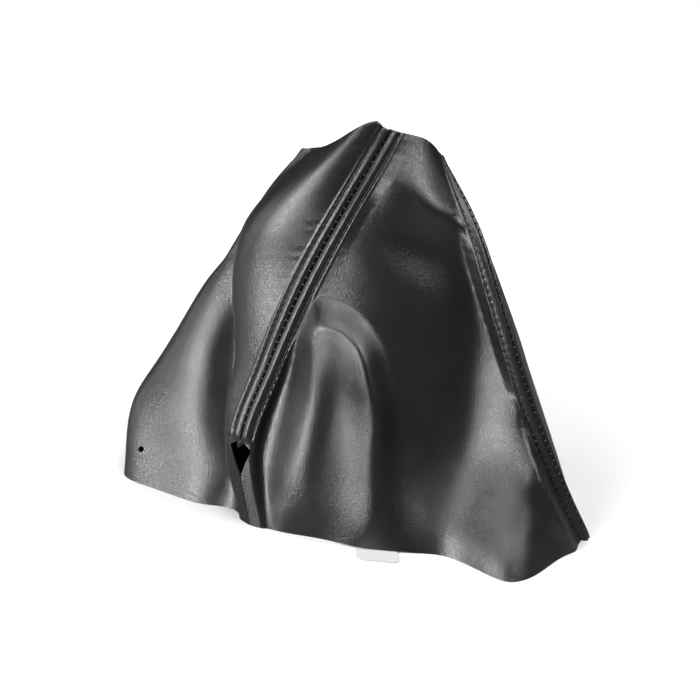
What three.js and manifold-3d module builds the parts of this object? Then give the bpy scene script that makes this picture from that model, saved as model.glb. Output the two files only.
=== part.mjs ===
import * as THREE from 'three';
import { mergeVertices } from 'three/addons/utils/BufferGeometryUtils.js';
import Module from 'manifold-3d';

// A gear lever gaiter, standing upright on its hem. Four leatherette panels are sewn edge to edge
// along four seams that run from the corners of the hem up to the neck. Millimetres, +Z up.

// Leatherette sheet
const SHEET_THICKNESS = 1.2;
const LEATHER = { color: 0x1b1b1c, roughness: 0.5, metalness: 0 };

// Seams: each panel's edge is rolled over, its allowance lies doubled behind, and one row of
// top stitching on each side holds the allowance flat.
const SEAM_CLEARANCE = 0.2;
const SEAM_ALLOWANCE = 6.4;
const ALLOWANCE_FADE = 0.8;
const ALLOWANCE_RISE = 0.5;
const ROLL_RADIUS = 1.0;
const RIB_CREST = 2.3;
const RIB_WIDTH = 1.3;
const RIB_HEIGHT = 0.8;
const TOP_STITCH_ROW = 5;
const STITCH_CHANNEL_DEPTH = 0.45;
const STITCH_CHANNEL_WIDTH = 0.7;
const MITRE_BLEND = 9;
const LEAST_MITRE = 0.6;

// Sewing thread
const THREAD_WIDTH = 0.7;
const THREAD_HEIGHT = 0.6;
const THREAD_CLEARANCE = 0.35;
const THREAD_END_MARGIN = 2;
const LEAST_ROW_GAP = 0.4;
const THREAD = { color: 0x242426, roughness: 0.7, metalness: 0 };

// Neck: the sheet is turned in all round
const NECK_TURN_IN = 10;
const NECK_TURN_FADE = 1.2;
const RIM_ROUNDING = 0.9;

// The front left seam stops short of the hem, at a small open kite with a slit below it. Heights
// are measured along the seam; the kite is widest at its peak. Above it the edges turn from free to
// sewn over a share of the seam.
const OPENING_LOW = 24;
const OPENING_PEAK = 38;
const OPENING_HIGH = 42.5;
const OPENING_HALF_WIDTH = 5.5;
const SEWN_EASE = 0.02;

// Peg hole near the hem of the left panel
const PEG_HOLE_ACROSS = 0.545;
const PEG_HOLE_HEIGHT = 16.7;
const PEG_HOLE_RADIUS = 1.4;
const PEG_HOLE_SIDES = 12;

// Blank tab sewn inside the front hem, lying out on the surface
const TAB_ACROSS = 0.337;
const TAB_WIDTH = 19;
const TAB_OUT = 10.5;
const TAB_IN = 5;
const TAB_THICKNESS = 0.4;
const TAB_CLEARANCE = 0.35;
const TAB_SIDE_MARGIN = 1;
const TAB_MATERIAL = { color: 0xe8e8e4, roughness: 0.8, metalness: 0 };
const HEM_LIFT_FADE = 12;
const HEM_LIFT_REACH = 0.1;

// Seam lines: hem corner, neck corner, neck height, and how far the line sways from straight at
// the four stations between them.
const STATIONS = [0, 0.2, 0.4, 0.6, 0.8, 1];
const SEAMS = {
  front_left: {
    foot: [-47, -20], neck: [13, 26], height: 172,
    sway: [[-17, 3, -1.5], [-17, 3.5, -2], [-14, 2.5, 0], [-11.5, -3, -3]],
  },
  front_right: {
    foot: [111, -46], neck: [46, 40], height: 156.5,
    sway: [[-2, -13, -7.5], [-7, -20.5, -4], [-8, -23.5, 2], [-5.5, -18, 6.5]],
  },
  rear_right: {
    foot: [98, 76], neck: [20, 70], height: 150,
    sway: [[11.5, 1, 0], [13, 0.5, 2.5], [7, 0, 8.5], [0.5, 0, 9]],
  },
  rear_left: {
    foot: [-50, 95], neck: [-19, 48], height: 155,
    sway: [[-12, 6.5, -1], [-10.5, 7, 1], [-5.5, 3, 10], [-2, 1.5, 9]],
  },
};

// Panels, seen from outside, run from their left seam (across = 0) to their right seam (across = 1).
// bulge: how far the middle stands out at each station.
// folds: rows of [up, across, height, width to the left, width to the right]; a valley is negative.
// pillow: a raised part with an arched top; rows of [up, across, height, half width].
// swells: [across, up, half width, half height as a share, height, slope of its long axis].
// lip: [across, width as a share, height] of the rise of the neck's edge.
const PANELS = {
  front_panel: {
    left: 'front_left', right: 'front_right', bulge: [24, 16, 10, 7, 8, 6],
    folds: [
      [[0, 0.01, -3, 6, 5], [0.06, 0.035, -5, 8, 6], [0.12, 0.065, -6, 8, 6], [0.24, 0.095, -8, 10, 6],
        [0.34, 0.095, -9, 10, 6], [0.44, 0.075, -8, 9, 6], [0.51, 0.06, -4, 7, 6],
        [0.56, 0.06, 0, 7, 6], [0.6, 0.06, 0, 7, 6]],
      [[0, 0.2, -4, 20, 20], [0.1, 0.23, -2, 12, 14], [0.2, 0.25, -2, 10, 14], [0.38, 0.25, -2, 8, 12],
        [0.46, 0.22, 0, 8, 9], [0.52, 0.2, 0, 8, 9]],
      [[0, 0.28, 2, 8, 9], [0.13, 0.37, 4, 9, 9], [0.27, 0.39, 5, 9, 9], [0.38, 0.385, 5, 9, 9],
        [0.47, 0.345, 4, 8, 9], [0.54, 0.3, 0, 8, 9], [0.6, 0.27, 0, 8, 9]],
      [[0, 0.52, -3, 16, 10], [0.15, 0.59, -7, 24, 14], [0.28, 0.65, -10, 26, 20],
        [0.4, 0.705, -12, 26, 22], [0.51, 0.77, -13, 27, 19], [0.64, 0.84, -10, 28, 10],
        [0.76, 0.8, -6, 24, 10], [0.86, 0.75, 0, 20, 10], [0.95, 0.75, 0, 20, 10]],
      [[0, 0.67, 25, 15, 36], [0.06, 0.685, 25, 21, 30], [0.12, 0.71, 20, 21, 25],
        [0.2, 0.755, 13, 20, 19], [0.31, 0.84, 8, 17, 12], [0.42, 0.92, 5, 15, 12],
        [0.53, 0.94, 1, 10, 10], [0.66, 0.93, 0, 10, 10], [0.72, 0.93, 0, 10, 10]],
      [[0, 0.9, 2, 14, 8], [0.06, 0.9, 7, 15, 8], [0.12, 0.915, 9, 15, 8], [0.2, 0.93, 8, 12, 8],
        [0.28, 0.945, 3, 9, 8], [0.34, 0.95, 0, 8, 8], [0.4, 0.95, 0, 8, 8]],
    ],
    pillow: {
      rows: [[0, 0.3, 0, 27], [0.11, 0.3, 2, 27], [0.26, 0.3, 3, 24], [0.38, 0.27, 6, 20],
        [0.46, 0.23, 8, 17], [0.53, 0.17, 9, 16], [0.6, 0.14, 9, 16]],
      spring: 0.45, top: 0.565, softness: 0.4,
    },
    swells: [[0.2, 0.9, 10, 0.05, 2.5, -0.12], [0.62, 0.865, 14, 0.045, 4, -0.12],
      [0.5, 0.745, 26, 0.075, -4, -0.12]],
    lip: [0.5, 0.35, 3.5],
    columns: 17, rows: 25, crowding: 1.25,
  },
  right_panel: {
    left: 'front_right', right: 'rear_right', bulge: [12, 15, 17, 17, 15, 10],
    folds: [[[0, 0.45, -8, 14, 14], [0.6, 0.5, -5, 10, 10], [0.9, 0.5, 0, 8, 8]]],
    columns: 9, rows: 16, crowding: 1,
  },
  rear_panel: {
    left: 'rear_right', right: 'rear_left', bulge: [18, 16, 12, 10, 8, 6],
    folds: [
      [[0, 0.3, -8, 14, 14], [0.6, 0.4, -5, 9, 9], [0.9, 0.4, 0, 8, 8]],
      [[0, 0.7, -8, 14, 14], [0.5, 0.62, -5, 9, 9], [0.8, 0.6, 0, 8, 8]],
    ],
    columns: 11, rows: 16, crowding: 1,
  },
  left_panel: {
    left: 'rear_left', right: 'front_left', bulge: [12, 12, 13, 19, 20, 10],
    folds: [
      [[0, 0.52, 30, 26, 22], [0.2, 0.4, 19, 19, 16], [0.3, 0.345, 13, 15, 13],
        [0.4, 0.295, 10, 11, 11], [0.6, 0.12, 2, 8, 7], [0.7, 0.05, 0, 8, 7], [0.8, 0.05, 0, 8, 7]],
      [[0, 0.86, -5, 9, 9], [0.1, 0.79, -11, 14, 9], [0.2, 0.73, -15, 16, 11], [0.3, 0.64, -15, 14, 12],
        [0.4, 0.54, -13, 12, 14], [0.6, 0.22, -7, 7, 12], [0.7, 0.1, 0, 7, 10], [0.8, 0.1, 0, 7, 10]],
    ],
    lip: [0.75, 0.32, 7],
    columns: 15, rows: 25, crowding: 1 / 1.25,
  },
};

const FOLD_START = 4;
const FOLD_RUN_IN = 7;
const LIP_START = 0.8;
const TINY = 1e-3;

// Eases from 0 to 1 as x goes from 0 to 1
function smooth(x) {
  const t = Math.min(1, Math.max(0, x));
  return t * t * (3 - 2 * t);
}

function bell(x) {
  return Math.exp(-x * x);
}

// Smooth curve through rows of numbers, whose first number is the station
function follow(rows, v) {
  const last = rows.length - 1;
  const at = Math.min(rows[last][0], Math.max(rows[0][0], v));
  let i = 0;
  while (i < last - 1 && at > rows[i + 1][0]) {
    i += 1;
  }
  const slope = (k, n) => (rows[k + 1][n] - rows[k][n]) / (rows[k + 1][0] - rows[k][0]);
  const tangent = (k, n) => {
    if (k === 0) {
      return slope(0, n);
    }
    if (k === last) {
      return slope(last - 1, n);
    }
    return (slope(k - 1, n) + slope(k, n)) / 2;
  };
  const run = rows[i + 1][0] - rows[i][0];
  const s = (at - rows[i][0]) / run;
  return rows[i].slice(1).map((value, k) => {
    const n = k + 1;
    return (2 * s ** 3 - 3 * s ** 2 + 1) * value
      + (s ** 3 - 2 * s ** 2 + s) * run * tangent(i, n)
      + (3 * s ** 2 - 2 * s ** 3) * rows[i + 1][n]
      + (s ** 3 - s ** 2) * run * tangent(i + 1, n);
  });
}

// A point on a seam line, up = 0 at the hem and 1 at the neck
function seamPoint(name, up) {
  const { foot, neck, height, sway } = SEAMS[name];
  const still = [0, 0, 0];
  const offsets = [still, ...sway, still].map((offset, k) => [STATIONS[k], ...offset]);
  const straight = new THREE.Vector3(
    THREE.MathUtils.lerp(foot[0], neck[0], up),
    THREE.MathUtils.lerp(foot[1], neck[1], up),
    height * up,
  );
  return straight.add(new THREE.Vector3(...follow(offsets, up)));
}

function foldHeight(rows, across, up, chord) {
  const [centre, height, left, right] = follow(rows, up);
  if (up > rows[rows.length - 1][0] || up < rows[0][0]) {
    return 0;
  }
  return height * bell((across - centre) * chord / (across < centre ? left : right));
}

function pillowHeight(pillow, across, up, chord) {
  const [centre, height, halfWidth] = follow(pillow.rows, up);
  const x = (across - centre) * chord / halfWidth;
  const y = Math.max(0, up - pillow.spring) / (pillow.top - pillow.spring);
  const reach = 1 + pillow.softness - Math.hypot(x, y);
  return height * smooth(reach / (2 * pillow.softness));
}

function swellHeight([centre, middle, halfWidth, halfHeight, height, slope], across, up, chord) {
  const x = (across - centre) * chord / halfWidth;
  const y = (up - middle - slope * (across - centre)) / halfHeight;
  return height * bell(x) * bell(y);
}

// The sheet's face before the seams shape its edges
function face(panel, across, up) {
  const start = seamPoint(panel.left, up);
  const end = seamPoint(panel.right, up);
  const chord = end.clone().sub(start);
  const length = chord.length();
  const away = new THREE.Vector3(chord.y, -chord.x, 0).normalize();
  const [bulge] = follow(panel.bulge.map((value, k) => [STATIONS[k], value]), up);
  const nearest = Math.min(across, 1 - across) * length;
  const clearOfSeams = smooth((nearest - FOLD_START) / FOLD_RUN_IN);
  let out = 0;
  for (const rows of panel.folds) {
    out += foldHeight(rows, across, up, length);
  }
  if (panel.pillow) {
    out += pillowHeight(panel.pillow, across, up, length);
  }
  for (const swell of panel.swells ?? []) {
    out += swellHeight(swell, across, up, length);
  }
  const point = start.addScaledVector(chord, across);
  point.addScaledVector(away, bulge * 4 * across * (1 - across) + out * clearOfSeams);
  if (panel.lip) {
    const [centre, width, height] = panel.lip;
    const nearNeck = smooth((up - LIP_START) / (1 - LIP_START));
    point.z += height * bell((across - centre) / width) * nearNeck * smooth(nearest / FOLD_RUN_IN);
  }
  return point;
}

function faceNormal(panel, across, up) {
  const left = Math.max(0, across - TINY);
  const right = Math.min(1, across + TINY);
  const low = Math.max(0, up - TINY);
  const high = Math.min(1, up + TINY);
  const along = face(panel, right, up).sub(face(panel, left, up));
  const upward = face(panel, across, high).sub(face(panel, across, low));
  return along.cross(upward).normalize();
}

// Millimetres of face for each whole unit of across, at a panel's left (0) or right (1) edge
function edgeScale(panel, side, up) {
  const inner = side === 0 ? TINY : 1 - TINY;
  return face(panel, side, up).distanceTo(face(panel, inner, up)) / TINY;
}

// Both panels at a seam share this direction, so their edges meet in a mitre
function seamNormal(name, up) {
  const sum = new THREE.Vector3();
  for (const panel of Object.values(PANELS)) {
    if (panel.left === name) {
      sum.add(faceNormal(panel, 0, up));
    }
    if (panel.right === name) {
      sum.add(faceNormal(panel, 1, up));
    }
  }
  return sum.normalize();
}

function seamLength(name) {
  let total = 0;
  const steps = 24;
  for (let k = 0; k < steps; k += 1) {
    total += seamPoint(name, k / steps).distanceTo(seamPoint(name, (k + 1) / steps));
  }
  return total;
}

const openingLow = OPENING_LOW / seamLength('front_left');
const openingPeak = OPENING_PEAK / seamLength('front_left');
const openingHigh = OPENING_HIGH / seamLength('front_left');

// How far a panel's edge stands back from the seam line
function edgeInset(name, up) {
  if (name !== 'front_left') {
    return SEAM_CLEARANCE;
  }
  const below = (up - openingLow) / (openingPeak - openingLow);
  const above = (openingHigh - up) / (openingHigh - openingPeak);
  return SEAM_CLEARANCE + OPENING_HALF_WIDTH * Math.max(0, Math.min(below, above));
}

// 1 where the seam is sewn, 0 where its edges are cut and free
function sewn(name, up) {
  return name === 'front_left' ? smooth((up - openingHigh) / SEWN_EASE + 0.5) : 1;
}

// Height of the sheet's outer face over its plain face, at a distance from the panel's own edge
function ribProfile(distance, isSewn) {
  const roll = Math.min(ROLL_RADIUS, Math.max(0, ROLL_RADIUS - distance));
  const rolled = Math.sqrt(ROLL_RADIUS ** 2 - roll ** 2) - ROLL_RADIUS;
  const crest = RIB_HEIGHT * bell((distance - RIB_CREST) / RIB_WIDTH);
  const channel = STITCH_CHANNEL_DEPTH * bell((distance - TOP_STITCH_ROW) / STITCH_CHANNEL_WIDTH);
  return isSewn * (rolled + crest - channel + ALLOWANCE_RISE * underAllowance(distance));
}

function underAllowance(distance) {
  return 1 - smooth((distance - SEAM_ALLOWANCE) / ALLOWANCE_FADE);
}

function neckScale(panel) {
  return face(panel, 0.5, 1).distanceTo(face(panel, 0.5, 0.9)) / 0.1;
}

// One place on a panel, with its outer and inner faces. The hem is cut level, so both lie flat there.
function wall(panel, across, up) {
  const fromLeft = across * edgeScale(panel, 0, up);
  const fromRight = (1 - across) * edgeScale(panel, 1, up);
  const isLeft = fromLeft < fromRight;
  const seam = isLeft ? panel.left : panel.right;
  const distance = Math.min(fromLeft, fromRight) - edgeInset(seam, up);
  const isSewn = sewn(seam, up);
  const plain = faceNormal(panel, across, up);
  const shared = seamNormal(seam, up);
  const mitre = 1 - smooth(distance / MITRE_BLEND);
  const square = Math.max(LEAST_MITRE, shared.dot(plain));
  const direction = plain.clone().lerp(shared.divideScalar(square), mitre);
  const fromNeck = (1 - up) * neckScale(panel);
  const turnedIn = 1 - smooth((fromNeck - NECK_TURN_IN) / NECK_TURN_FADE);
  const layers = 1 + Math.max(turnedIn, isSewn * underAllowance(distance));
  const rounding = RIM_ROUNDING * Math.max(0, 1 - fromNeck / RIM_ROUNDING) / 2;
  const point = face(panel, across, up);
  const nearHem = up === 0;
  if (nearHem) {
    direction.setZ(0).normalize();
  }
  const lift = hemLift(panel, across, up);
  const outer = point.clone().addScaledVector(direction, ribProfile(distance, isSewn) - rounding);
  const inner = point.clone().addScaledVector(direction, rounding - SHEET_THICKNESS * layers);
  outer.z += lift;
  inner.z += lift;
  return { outer, inner, direction };
}

// The front hem rises a little where the tab passes under it
function hemLift(panel, across, up) {
  if (panel !== PANELS.front_panel) {
    return 0;
  }
  const scale = seamPoint(panel.left, 0).distanceTo(seamPoint(panel.right, 0));
  const aside = Math.abs(across - TAB_ACROSS) * scale - TAB_WIDTH / 2 - TAB_SIDE_MARGIN;
  const height = TAB_THICKNESS + TAB_CLEARANCE;
  return height * (1 - smooth(aside / HEM_LIFT_FADE)) * (1 - smooth(up / HEM_LIFT_REACH));
}

// Closed solid between two grids of points of the same size, each quad split on its shorter diagonal
function shell(outer, inner) {
  const rows = outer.length;
  const columns = outer[0].length;
  const points = [...outer.flat(), ...inner.flat()];
  const front = (r, c) => r * columns + c;
  const back = (r, c) => rows * columns + r * columns + c;
  const index = [];
  const quad = (a, b, c, d) => {
    const splitsFirst = points[a].distanceTo(points[c]) < points[b].distanceTo(points[d]);
    index.push(...(splitsFirst ? [a, b, c, a, c, d] : [a, b, d, b, c, d]));
  };
  for (let r = 0; r < rows - 1; r += 1) {
    for (let c = 0; c < columns - 1; c += 1) {
      quad(front(r, c), front(r, c + 1), front(r + 1, c + 1), front(r + 1, c));
      quad(back(r, c), back(r + 1, c), back(r + 1, c + 1), back(r, c + 1));
    }
    const end = columns - 1;
    quad(front(r, 0), front(r + 1, 0), back(r + 1, 0), back(r, 0));
    quad(front(r, end), back(r, end), back(r + 1, end), front(r + 1, end));
  }
  for (let c = 0; c < columns - 1; c += 1) {
    const top = rows - 1;
    quad(front(0, c), back(0, c), back(0, c + 1), front(0, c + 1));
    quad(front(top, c), front(top, c + 1), back(top, c + 1), back(top, c));
  }
  const geometry = new THREE.BufferGeometry().setFromPoints(points);
  geometry.setIndex(index);
  return geometry;
}

// Rows from hem to neck, evenly spaced, with the nearest ones moved to the places that matter
function rowsOf(panel) {
  const neck = neckScale(panel);
  const places = [RIM_ROUNDING, NECK_TURN_IN, NECK_TURN_IN + NECK_TURN_FADE].map((d) => 1 - d / neck);
  if (panel.left === 'front_left' || panel.right === 'front_left') {
    places.push(openingLow, openingPeak, openingHigh, openingHigh + SEWN_EASE);
  }
  const rows = Array.from({ length: panel.rows + 1 }, (unused, k) => k / panel.rows);
  const free = new Set(rows.keys());
  free.delete(0);
  free.delete(panel.rows);
  for (const place of places) {
    const away = (k) => Math.abs(rows[k] - place);
    const nearest = [...free].reduce((a, b) => (away(a) < away(b) ? a : b));
    rows[nearest] = place;
    free.delete(nearest);
  }
  return rows.sort((a, b) => a - b);
}

// Columns of one row: close together over each seam's allowance, spread out between them
function columnsOf(panel, up) {
  const near = [0, ROLL_RADIUS, RIB_CREST, TOP_STITCH_ROW, SEAM_ALLOWANCE, SEAM_ALLOWANCE + ALLOWANCE_FADE];
  const left = near.map((d) => (edgeInset(panel.left, up) + d) / edgeScale(panel, 0, up));
  const right = near.map((d) => 1 - (edgeInset(panel.right, up) + d) / edgeScale(panel, 1, up));
  const start = left[left.length - 1];
  const end = right[right.length - 1];
  const middle = [];
  for (let k = 1; k < panel.columns; k += 1) {
    middle.push(THREE.MathUtils.lerp(start, end, (k / panel.columns) ** panel.crowding));
  }
  return [...left, ...middle, ...right.reverse()];
}

function panelGeometry(panel) {
  const walls = rowsOf(panel).map((up) => columnsOf(panel, up).map((across) => wall(panel, across, up)));
  return shell(
    walls.map((row) => row.map((place) => place.outer)),
    walls.map((row) => row.map((place) => place.inner)),
  );
}

// Where the thread of a seam starts and ends, and the rows of a panel between them
function threadStations(panel, seam) {
  const start = seam === 'front_left' ? openingHigh + SEWN_EASE : THREAD_END_MARGIN / seamLength(seam);
  const end = 1 - THREAD_END_MARGIN / seamLength(seam);
  const apart = LEAST_ROW_GAP / panel.rows;
  const between = rowsOf(panel).filter((up) => up > start + apart && up < end - apart);
  return [start, ...between, end];
}

// A thread lying on the outer face along a panel's left (0) or right (1) top stitching
function topThreadGeometry(panel, side) {
  const seam = side === 0 ? panel.left : panel.right;
  return threadGeometry(threadStations(panel, seam), (up) => {
    const distance = (edgeInset(seam, up) + TOP_STITCH_ROW) / edgeScale(panel, side, up);
    const across = side === 0 ? distance : 1 - distance;
    const { outer, direction } = wall(panel, across, up);
    const sideways = face(panel, across + TINY, up).sub(face(panel, across - TINY, up)).normalize();
    const base = outer.addScaledVector(direction, THREAD_CLEARANCE);
    return { base, direction, sideways };
  });
}

// The joining thread shows in the groove between the two rolled edges
function seamThreadGeometry(seam) {
  const panel = Object.values(PANELS).filter((one) => one.left === seam || one.right === seam)
    .reduce((one, other) => (one.rows > other.rows ? one : other));
  return threadGeometry(threadStations(panel, seam), (up) => {
    const direction = seamNormal(seam, up);
    const along = seamPoint(seam, up + TINY).sub(seamPoint(seam, up - TINY));
    const sideways = along.cross(direction).normalize();
    const height = Math.max(0, ribProfile(THREAD_WIDTH, 1)) + THREAD_CLEARANCE / 2;
    const base = seamPoint(seam, up).addScaledVector(direction, height);
    return { base, direction, sideways };
  });
}

function threadGeometry(stations, place) {
  const top = [];
  const bottom = [];
  for (const up of stations) {
    const { base, direction, sideways } = place(up);
    const corner = (side, height) => base.clone()
      .addScaledVector(sideways, side * THREAD_WIDTH / 2)
      .addScaledVector(direction, height);
    top.push([corner(-1, THREAD_HEIGHT), corner(1, THREAD_HEIGHT)]);
    bottom.push([corner(-1, 0), corner(1, 0)]);
  }
  return shell(top, bottom);
}

// The tab lies flat under the hem, from inside the wall to its free edge outside
function tabGeometry() {
  const panel = PANELS.front_panel;
  const { outer, direction } = wall(panel, TAB_ACROSS, 0);
  const sideways = new THREE.Vector3(-direction.y, direction.x, 0);
  const edge = (side, out, height) => new THREE.Vector3(outer.x, outer.y, height)
    .addScaledVector(sideways, side * TAB_WIDTH / 2)
    .addScaledVector(direction, out);
  const level = (height) => [[edge(-1, TAB_OUT, height), edge(1, TAB_OUT, height)],
    [edge(-1, -TAB_IN, height), edge(1, -TAB_IN, height)]];
  return shell(level(TAB_THICKNESS), level(0));
}

const wasm = await Module();
wasm.setup();

function asSolid(geometry) {
  const bare = geometry.clone();
  bare.deleteAttribute('normal');
  bare.deleteAttribute('uv');
  const merged = mergeVertices(bare);
  return new wasm.Manifold(new wasm.Mesh({
    numProp: 3,
    vertProperties: new Float32Array(merged.attributes.position.array),
    triVerts: new Uint32Array(merged.index.array),
  }));
}

function asGeometry(solid) {
  const mesh = solid.getMesh();
  const geometry = new THREE.BufferGeometry();
  geometry.setAttribute('position', new THREE.BufferAttribute(mesh.vertProperties, 3));
  geometry.setIndex(new THREE.BufferAttribute(mesh.triVerts, 1));
  return geometry;
}

// Punches the round peg hole through a panel, square to its face
function withPegHole(geometry, panel) {
  const up = PEG_HOLE_HEIGHT / seamLength(panel.right);
  const { outer, direction } = wall(panel, PEG_HOLE_ACROSS, up);
  const length = 8 * SHEET_THICKNESS;
  const punch = new THREE.CylinderGeometry(PEG_HOLE_RADIUS, PEG_HOLE_RADIUS, length, PEG_HOLE_SIDES);
  const turn = new THREE.Quaternion().setFromUnitVectors(new THREE.Vector3(0, 1, 0), direction);
  punch.applyQuaternion(turn);
  punch.translate(outer.x, outer.y, outer.z);
  return asGeometry(asSolid(geometry).subtract(asSolid(punch)));
}

const group = new THREE.Group();

function add(name, geometry, look) {
  const mesh = new THREE.Mesh(geometry, new THREE.MeshStandardMaterial(look));
  mesh.name = name;
  group.add(mesh);
}

for (const [name, panel] of Object.entries(PANELS)) {
  const plain = panelGeometry(panel);
  add(name, name === 'left_panel' ? withPegHole(plain, panel) : plain, LEATHER);
  add(`${name}_left_top_thread`, topThreadGeometry(panel, 0), THREAD);
  add(`${name}_right_top_thread`, topThreadGeometry(panel, 1), THREAD);
}
for (const seam of Object.keys(SEAMS)) {
  add(`${seam}_joining_thread`, seamThreadGeometry(seam), THREAD);
}
add('hem_tab', tabGeometry(), TAB_MATERIAL);

// The origin is under the middle of the whole, on the surface that it stands on
const box = new THREE.Box3().setFromObject(group);
const middle = box.getCenter(new THREE.Vector3());
group.position.set(-middle.x, -middle.y, -box.min.z);

export default group;
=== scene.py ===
# A gear lever gaiter in black leatherette, standing on its hem: four panels sewn edge to edge,
# with rolled, top stitched seams, a turned-in neck and the folds of a soft sleeve at rest.
import math

import bpy
import numpy as np
from mathutils import Matrix, Vector


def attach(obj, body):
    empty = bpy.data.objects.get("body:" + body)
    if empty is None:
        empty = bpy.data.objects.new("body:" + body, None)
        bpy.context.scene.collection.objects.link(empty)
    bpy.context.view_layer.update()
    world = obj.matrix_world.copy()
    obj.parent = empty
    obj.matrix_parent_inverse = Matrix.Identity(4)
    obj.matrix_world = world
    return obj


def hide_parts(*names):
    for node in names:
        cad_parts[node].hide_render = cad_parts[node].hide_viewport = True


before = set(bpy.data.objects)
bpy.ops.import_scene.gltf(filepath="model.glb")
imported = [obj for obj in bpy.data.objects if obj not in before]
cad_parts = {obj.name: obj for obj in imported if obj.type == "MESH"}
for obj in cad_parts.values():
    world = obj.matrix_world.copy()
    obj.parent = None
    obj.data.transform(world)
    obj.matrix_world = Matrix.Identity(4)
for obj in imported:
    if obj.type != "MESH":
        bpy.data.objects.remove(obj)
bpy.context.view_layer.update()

MM = 0.001

# The camera stands in front and a little to the left, looks down on the gaiter and is tipped
# slightly, as the photograph was taken.
CAMERA_AZIMUTH = math.radians(-23.5)
CAMERA_ELEVATION = math.radians(20)
CAMERA_ROLL = math.radians(8.5)
CAMERA_DISTANCE = 850
CAMERA_TARGET = Vector((-13.15, -10.57, 75))
PIXEL = 0.45
IMAGE_PIXELS = 700
TARGET_PIXEL = (355, 352)
SENSOR = 36
CLIP_END = 20

sight = Vector((
    math.sin(CAMERA_AZIMUTH) * math.cos(CAMERA_ELEVATION),
    -math.cos(CAMERA_AZIMUTH) * math.cos(CAMERA_ELEVATION),
    math.sin(CAMERA_ELEVATION),
))
level = Vector((math.cos(CAMERA_AZIMUTH), math.sin(CAMERA_AZIMUTH), 0))
upright = sight.cross(level)
rolled = level * math.cos(CAMERA_ROLL) + upright * math.sin(CAMERA_ROLL)
axes = Matrix((rolled, sight.cross(rolled), sight)).transposed().to_4x4()
camera = bpy.data.objects.new("camera", bpy.data.cameras.new("camera"))
bpy.context.scene.collection.objects.link(camera)
camera.matrix_world = Matrix.Translation((CAMERA_TARGET + sight * CAMERA_DISTANCE) * MM) @ axes
camera.data.sensor_width = SENSOR
camera.data.lens = SENSOR * CAMERA_DISTANCE / (PIXEL * IMAGE_PIXELS)
camera.data.shift_x = (IMAGE_PIXELS / 2 - TARGET_PIXEL[0]) / IMAGE_PIXELS
camera.data.shift_y = (TARGET_PIXEL[1] - IMAGE_PIXELS / 2) / IMAGE_PIXELS
camera.data.clip_end = CLIP_END
bpy.context.scene.camera = camera

# The studio: a pale floor and a white room to the camera, a soft lamp on the left, weaker ones on
# the right, above and behind. What the leather mirrors is dimmer than what the camera sees. In a
# disc under the sleeve, where only the neck and the gap in the seam show it, the floor's colour has
# a painted shade: near-black, in place of the shadow there.
FLOOR_SIZE = 8
FLOOR_COLOUR = (0.9, 0.9, 0.9, 1)
FLOOR_ROUGHNESS = 0.9
FLOOR_SPECULAR = 0.1
# Painted shade: a near-black disc painted into the floor's colour under the sleeve, in place of its shadow.
PAINTED_SHADE_COLOUR = (0.01, 0.01, 0.01, 1)
PAINTED_SHADE_CENTRE = (-0.006, 0.02, 0)
PAINTED_SHADE_RADIUS = 0.05
PAINTED_SHADE_EDGE = 0.004
GLOW_COLOUR = (1, 1, 1, 1)
FLOOR_GLOW = 0.8
GLOW_START = 0.12
GLOW_FULL = 0.7
FLOOR_MIRRORED = (0.22, 0.22, 0.22, 1)
ROOM_COLOUR = (1, 1, 1, 1)
ROOM_STRENGTH = 0.012
KEY_LAMP = {"azimuth": -62, "elevation": 24, "distance": 1.3, "size": (0.45, 0.85), "power": 20}
LEFT_LAMP = {"azimuth": -115, "elevation": 14, "distance": 1.3, "size": (0.8, 0.6), "power": 3.2}
RIGHT_LAMP = {"azimuth": 78, "elevation": 46, "distance": 1.3, "size": (0.45, 0.45), "power": 6}
TOP_LAMP = {"azimuth": 20, "elevation": 86, "distance": 1.4, "size": (0.8, 0.8), "power": 10}
BACK_LAMP = {"azimuth": 165, "elevation": 48, "distance": 1.4, "size": (0.7, 0.5), "power": 6}


def soft_lamp(name, azimuth, elevation, distance, size, power):
    lamp = bpy.data.objects.new(name, bpy.data.lights.new(name, "AREA"))
    bpy.context.scene.collection.objects.link(lamp)
    lamp.data.shape = "RECTANGLE"
    lamp.data.size, lamp.data.size_y = size
    lamp.data.energy = power
    turn, rise = math.radians(azimuth), math.radians(elevation)
    away = Vector((math.sin(turn) * math.cos(rise), -math.cos(turn) * math.cos(rise), math.sin(rise)))
    lamp.location = CAMERA_TARGET * MM + away * distance
    lamp.rotation_euler = away.to_track_quat("Z", "Y").to_euler()


soft_lamp("key_lamp", **KEY_LAMP)
soft_lamp("left_lamp", **LEFT_LAMP)
soft_lamp("right_lamp", **RIGHT_LAMP)
soft_lamp("top_lamp", **TOP_LAMP)
soft_lamp("back_lamp", **BACK_LAMP)

world = bpy.data.worlds.new("room")
bpy.context.scene.world = world
world.use_nodes = True
room = world.node_tree.nodes
room_light = room["Background"]
room_light.inputs["Color"].default_value = ROOM_COLOUR
room_light.inputs["Strength"].default_value = ROOM_STRENGTH
room_seen = room.new("ShaderNodeBackground")
room_seen.inputs["Color"].default_value = ROOM_COLOUR
room_ray = room.new("ShaderNodeLightPath")
room_mix = room.new("ShaderNodeMixShader")
world.node_tree.links.new(room_ray.outputs["Is Camera Ray"], room_mix.inputs["Fac"])
world.node_tree.links.new(room_light.outputs[0], room_mix.inputs[1])
world.node_tree.links.new(room_seen.outputs[0], room_mix.inputs[2])
world.node_tree.links.new(room_mix.outputs[0], room["World Output"].inputs["Surface"])

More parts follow.
